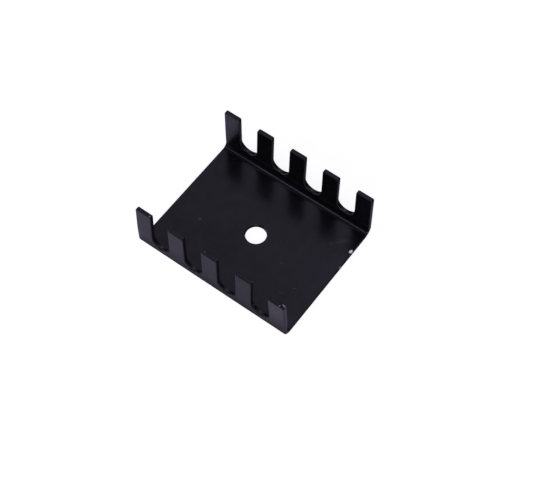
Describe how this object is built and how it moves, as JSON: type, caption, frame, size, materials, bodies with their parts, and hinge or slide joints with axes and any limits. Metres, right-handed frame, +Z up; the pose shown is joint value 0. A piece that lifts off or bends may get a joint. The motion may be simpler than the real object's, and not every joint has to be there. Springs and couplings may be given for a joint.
{
  "type": "transistor heat sink",
  "caption": "Folded sheet heat sink: a flat base with a central screw hole between two upright walls, each slotted into fingers that shed a bolted power transistor's heat to the air.",
  "frame": {"origin": "middle of the screw hole, on the underside of the base", "axes": "+X along the two walls, +Y from the front wall to the rear wall, +Z up from the base towards the finger tips"},
  "size_m": [0.031, 0.026, 0.0107],
  "materials": {
    "black_anodised_aluminium": "black anodised, satin, with the bare metal showing at one small chip on an edge"
  },
  "bodies": {
    "root": {"heat_sink": "black_anodised_aluminium"}
  },
  "joints": []
}
